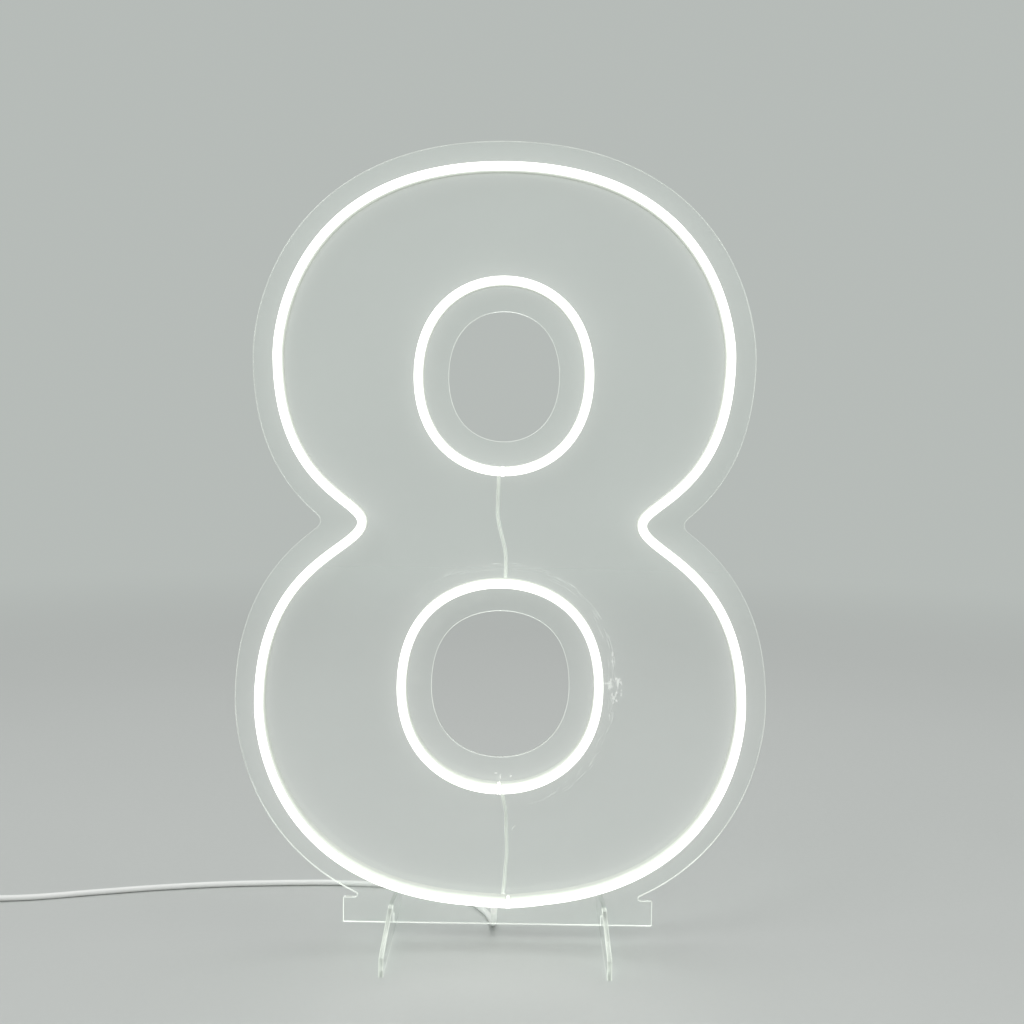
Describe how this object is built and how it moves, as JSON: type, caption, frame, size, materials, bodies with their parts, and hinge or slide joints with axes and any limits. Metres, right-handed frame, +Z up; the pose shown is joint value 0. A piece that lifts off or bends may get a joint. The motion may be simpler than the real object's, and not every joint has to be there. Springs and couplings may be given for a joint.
{
  "type": "neon number light",
  "caption": "Lit figure eight of soft white light tubes on a clear contour-cut board, with slot-in clear feet, flat wires on its back and a lead to a plug-in adapter.",
  "frame": {"origin": "on the table, under the middle of the board, midway between the ends of the feet", "axes": "+Z up the figure; the lit front faces -Y; +X is to the right of someone who looks at the front"},
  "size_m": [0.606, 0.2626, 0.5149],
  "materials": {
    "clear_acrylic": "polished clear sheet, bright cut edges",
    "glowing_silicone": "milky silicone, lit soft white",
    "plug_silicone": "satin",
    "strip_white": "satin",
    "wire_vinyl": "clear vinyl",
    "shrink_white": "satin",
    "lead_vinyl": "soft vinyl",
    "tie_white": "satin",
    "case_plastic": "fine spark texture",
    "pin_brass": "plated",
    "circuit_green": "solder mask",
    "ferrite": "sintered",
    "capacitor_sleeve": "shrink sleeve"
  },
  "bodies": {
    "light": {"backboard": "clear_acrylic", "outer_sleeve": "glowing_silicone", "upper_ring_sleeve": "glowing_silicone", "lower_ring_sleeve": "glowing_silicone", "outer_end_plug_left": "plug_silicone", "outer_end_plug_right": "plug_silicone", "upper_ring_end_plug_left": "plug_silicone", "upper_ring_end_plug_right": "plug_silicone", "lower_ring_end_plug_left": "plug_silicone", "lower_ring_end_plug_right": "plug_silicone", "outer_led_strip": "strip_white", "upper_ring_led_strip": "strip_white", "lower_ring_led_strip": "strip_white", "upper_link_wire": "wire_vinyl", "lower_link_wire": "wire_vinyl", "feed_wire": "wire_vinyl", "splice_sleeve": "shrink_white", "power_lead": "lead_vinyl", "lead_coil": "lead_vinyl", "lead_tail": "lead_vinyl", "coil_tie": "tie_white", "adapter_back": "case_plastic", "adapter_front": "case_plastic", "adapter_strain_relief": "case_plastic", "adapter_pin_left": "pin_brass", "adapter_pin_right": "pin_brass", "adapter_circuit_board": "circuit_green", "adapter_transformer": "ferrite", "adapter_capacitor": "capacitor_sleeve"},
    "left_foot": {"foot_left": "clear_acrylic"},
    "right_foot": {"foot_right": "clear_acrylic"}
  },
  "joints": [
    {"name": "foot_left_slot", "type": "slide", "parent": "light", "child": "left_foot", "axis": [0, 0, -1], "range_m": [0, 0.02]},
    {"name": "foot_right_slot", "type": "slide", "parent": "light", "child": "right_foot", "axis": [0, 0, -1], "range_m": [0, 0.02]}
  ]
}
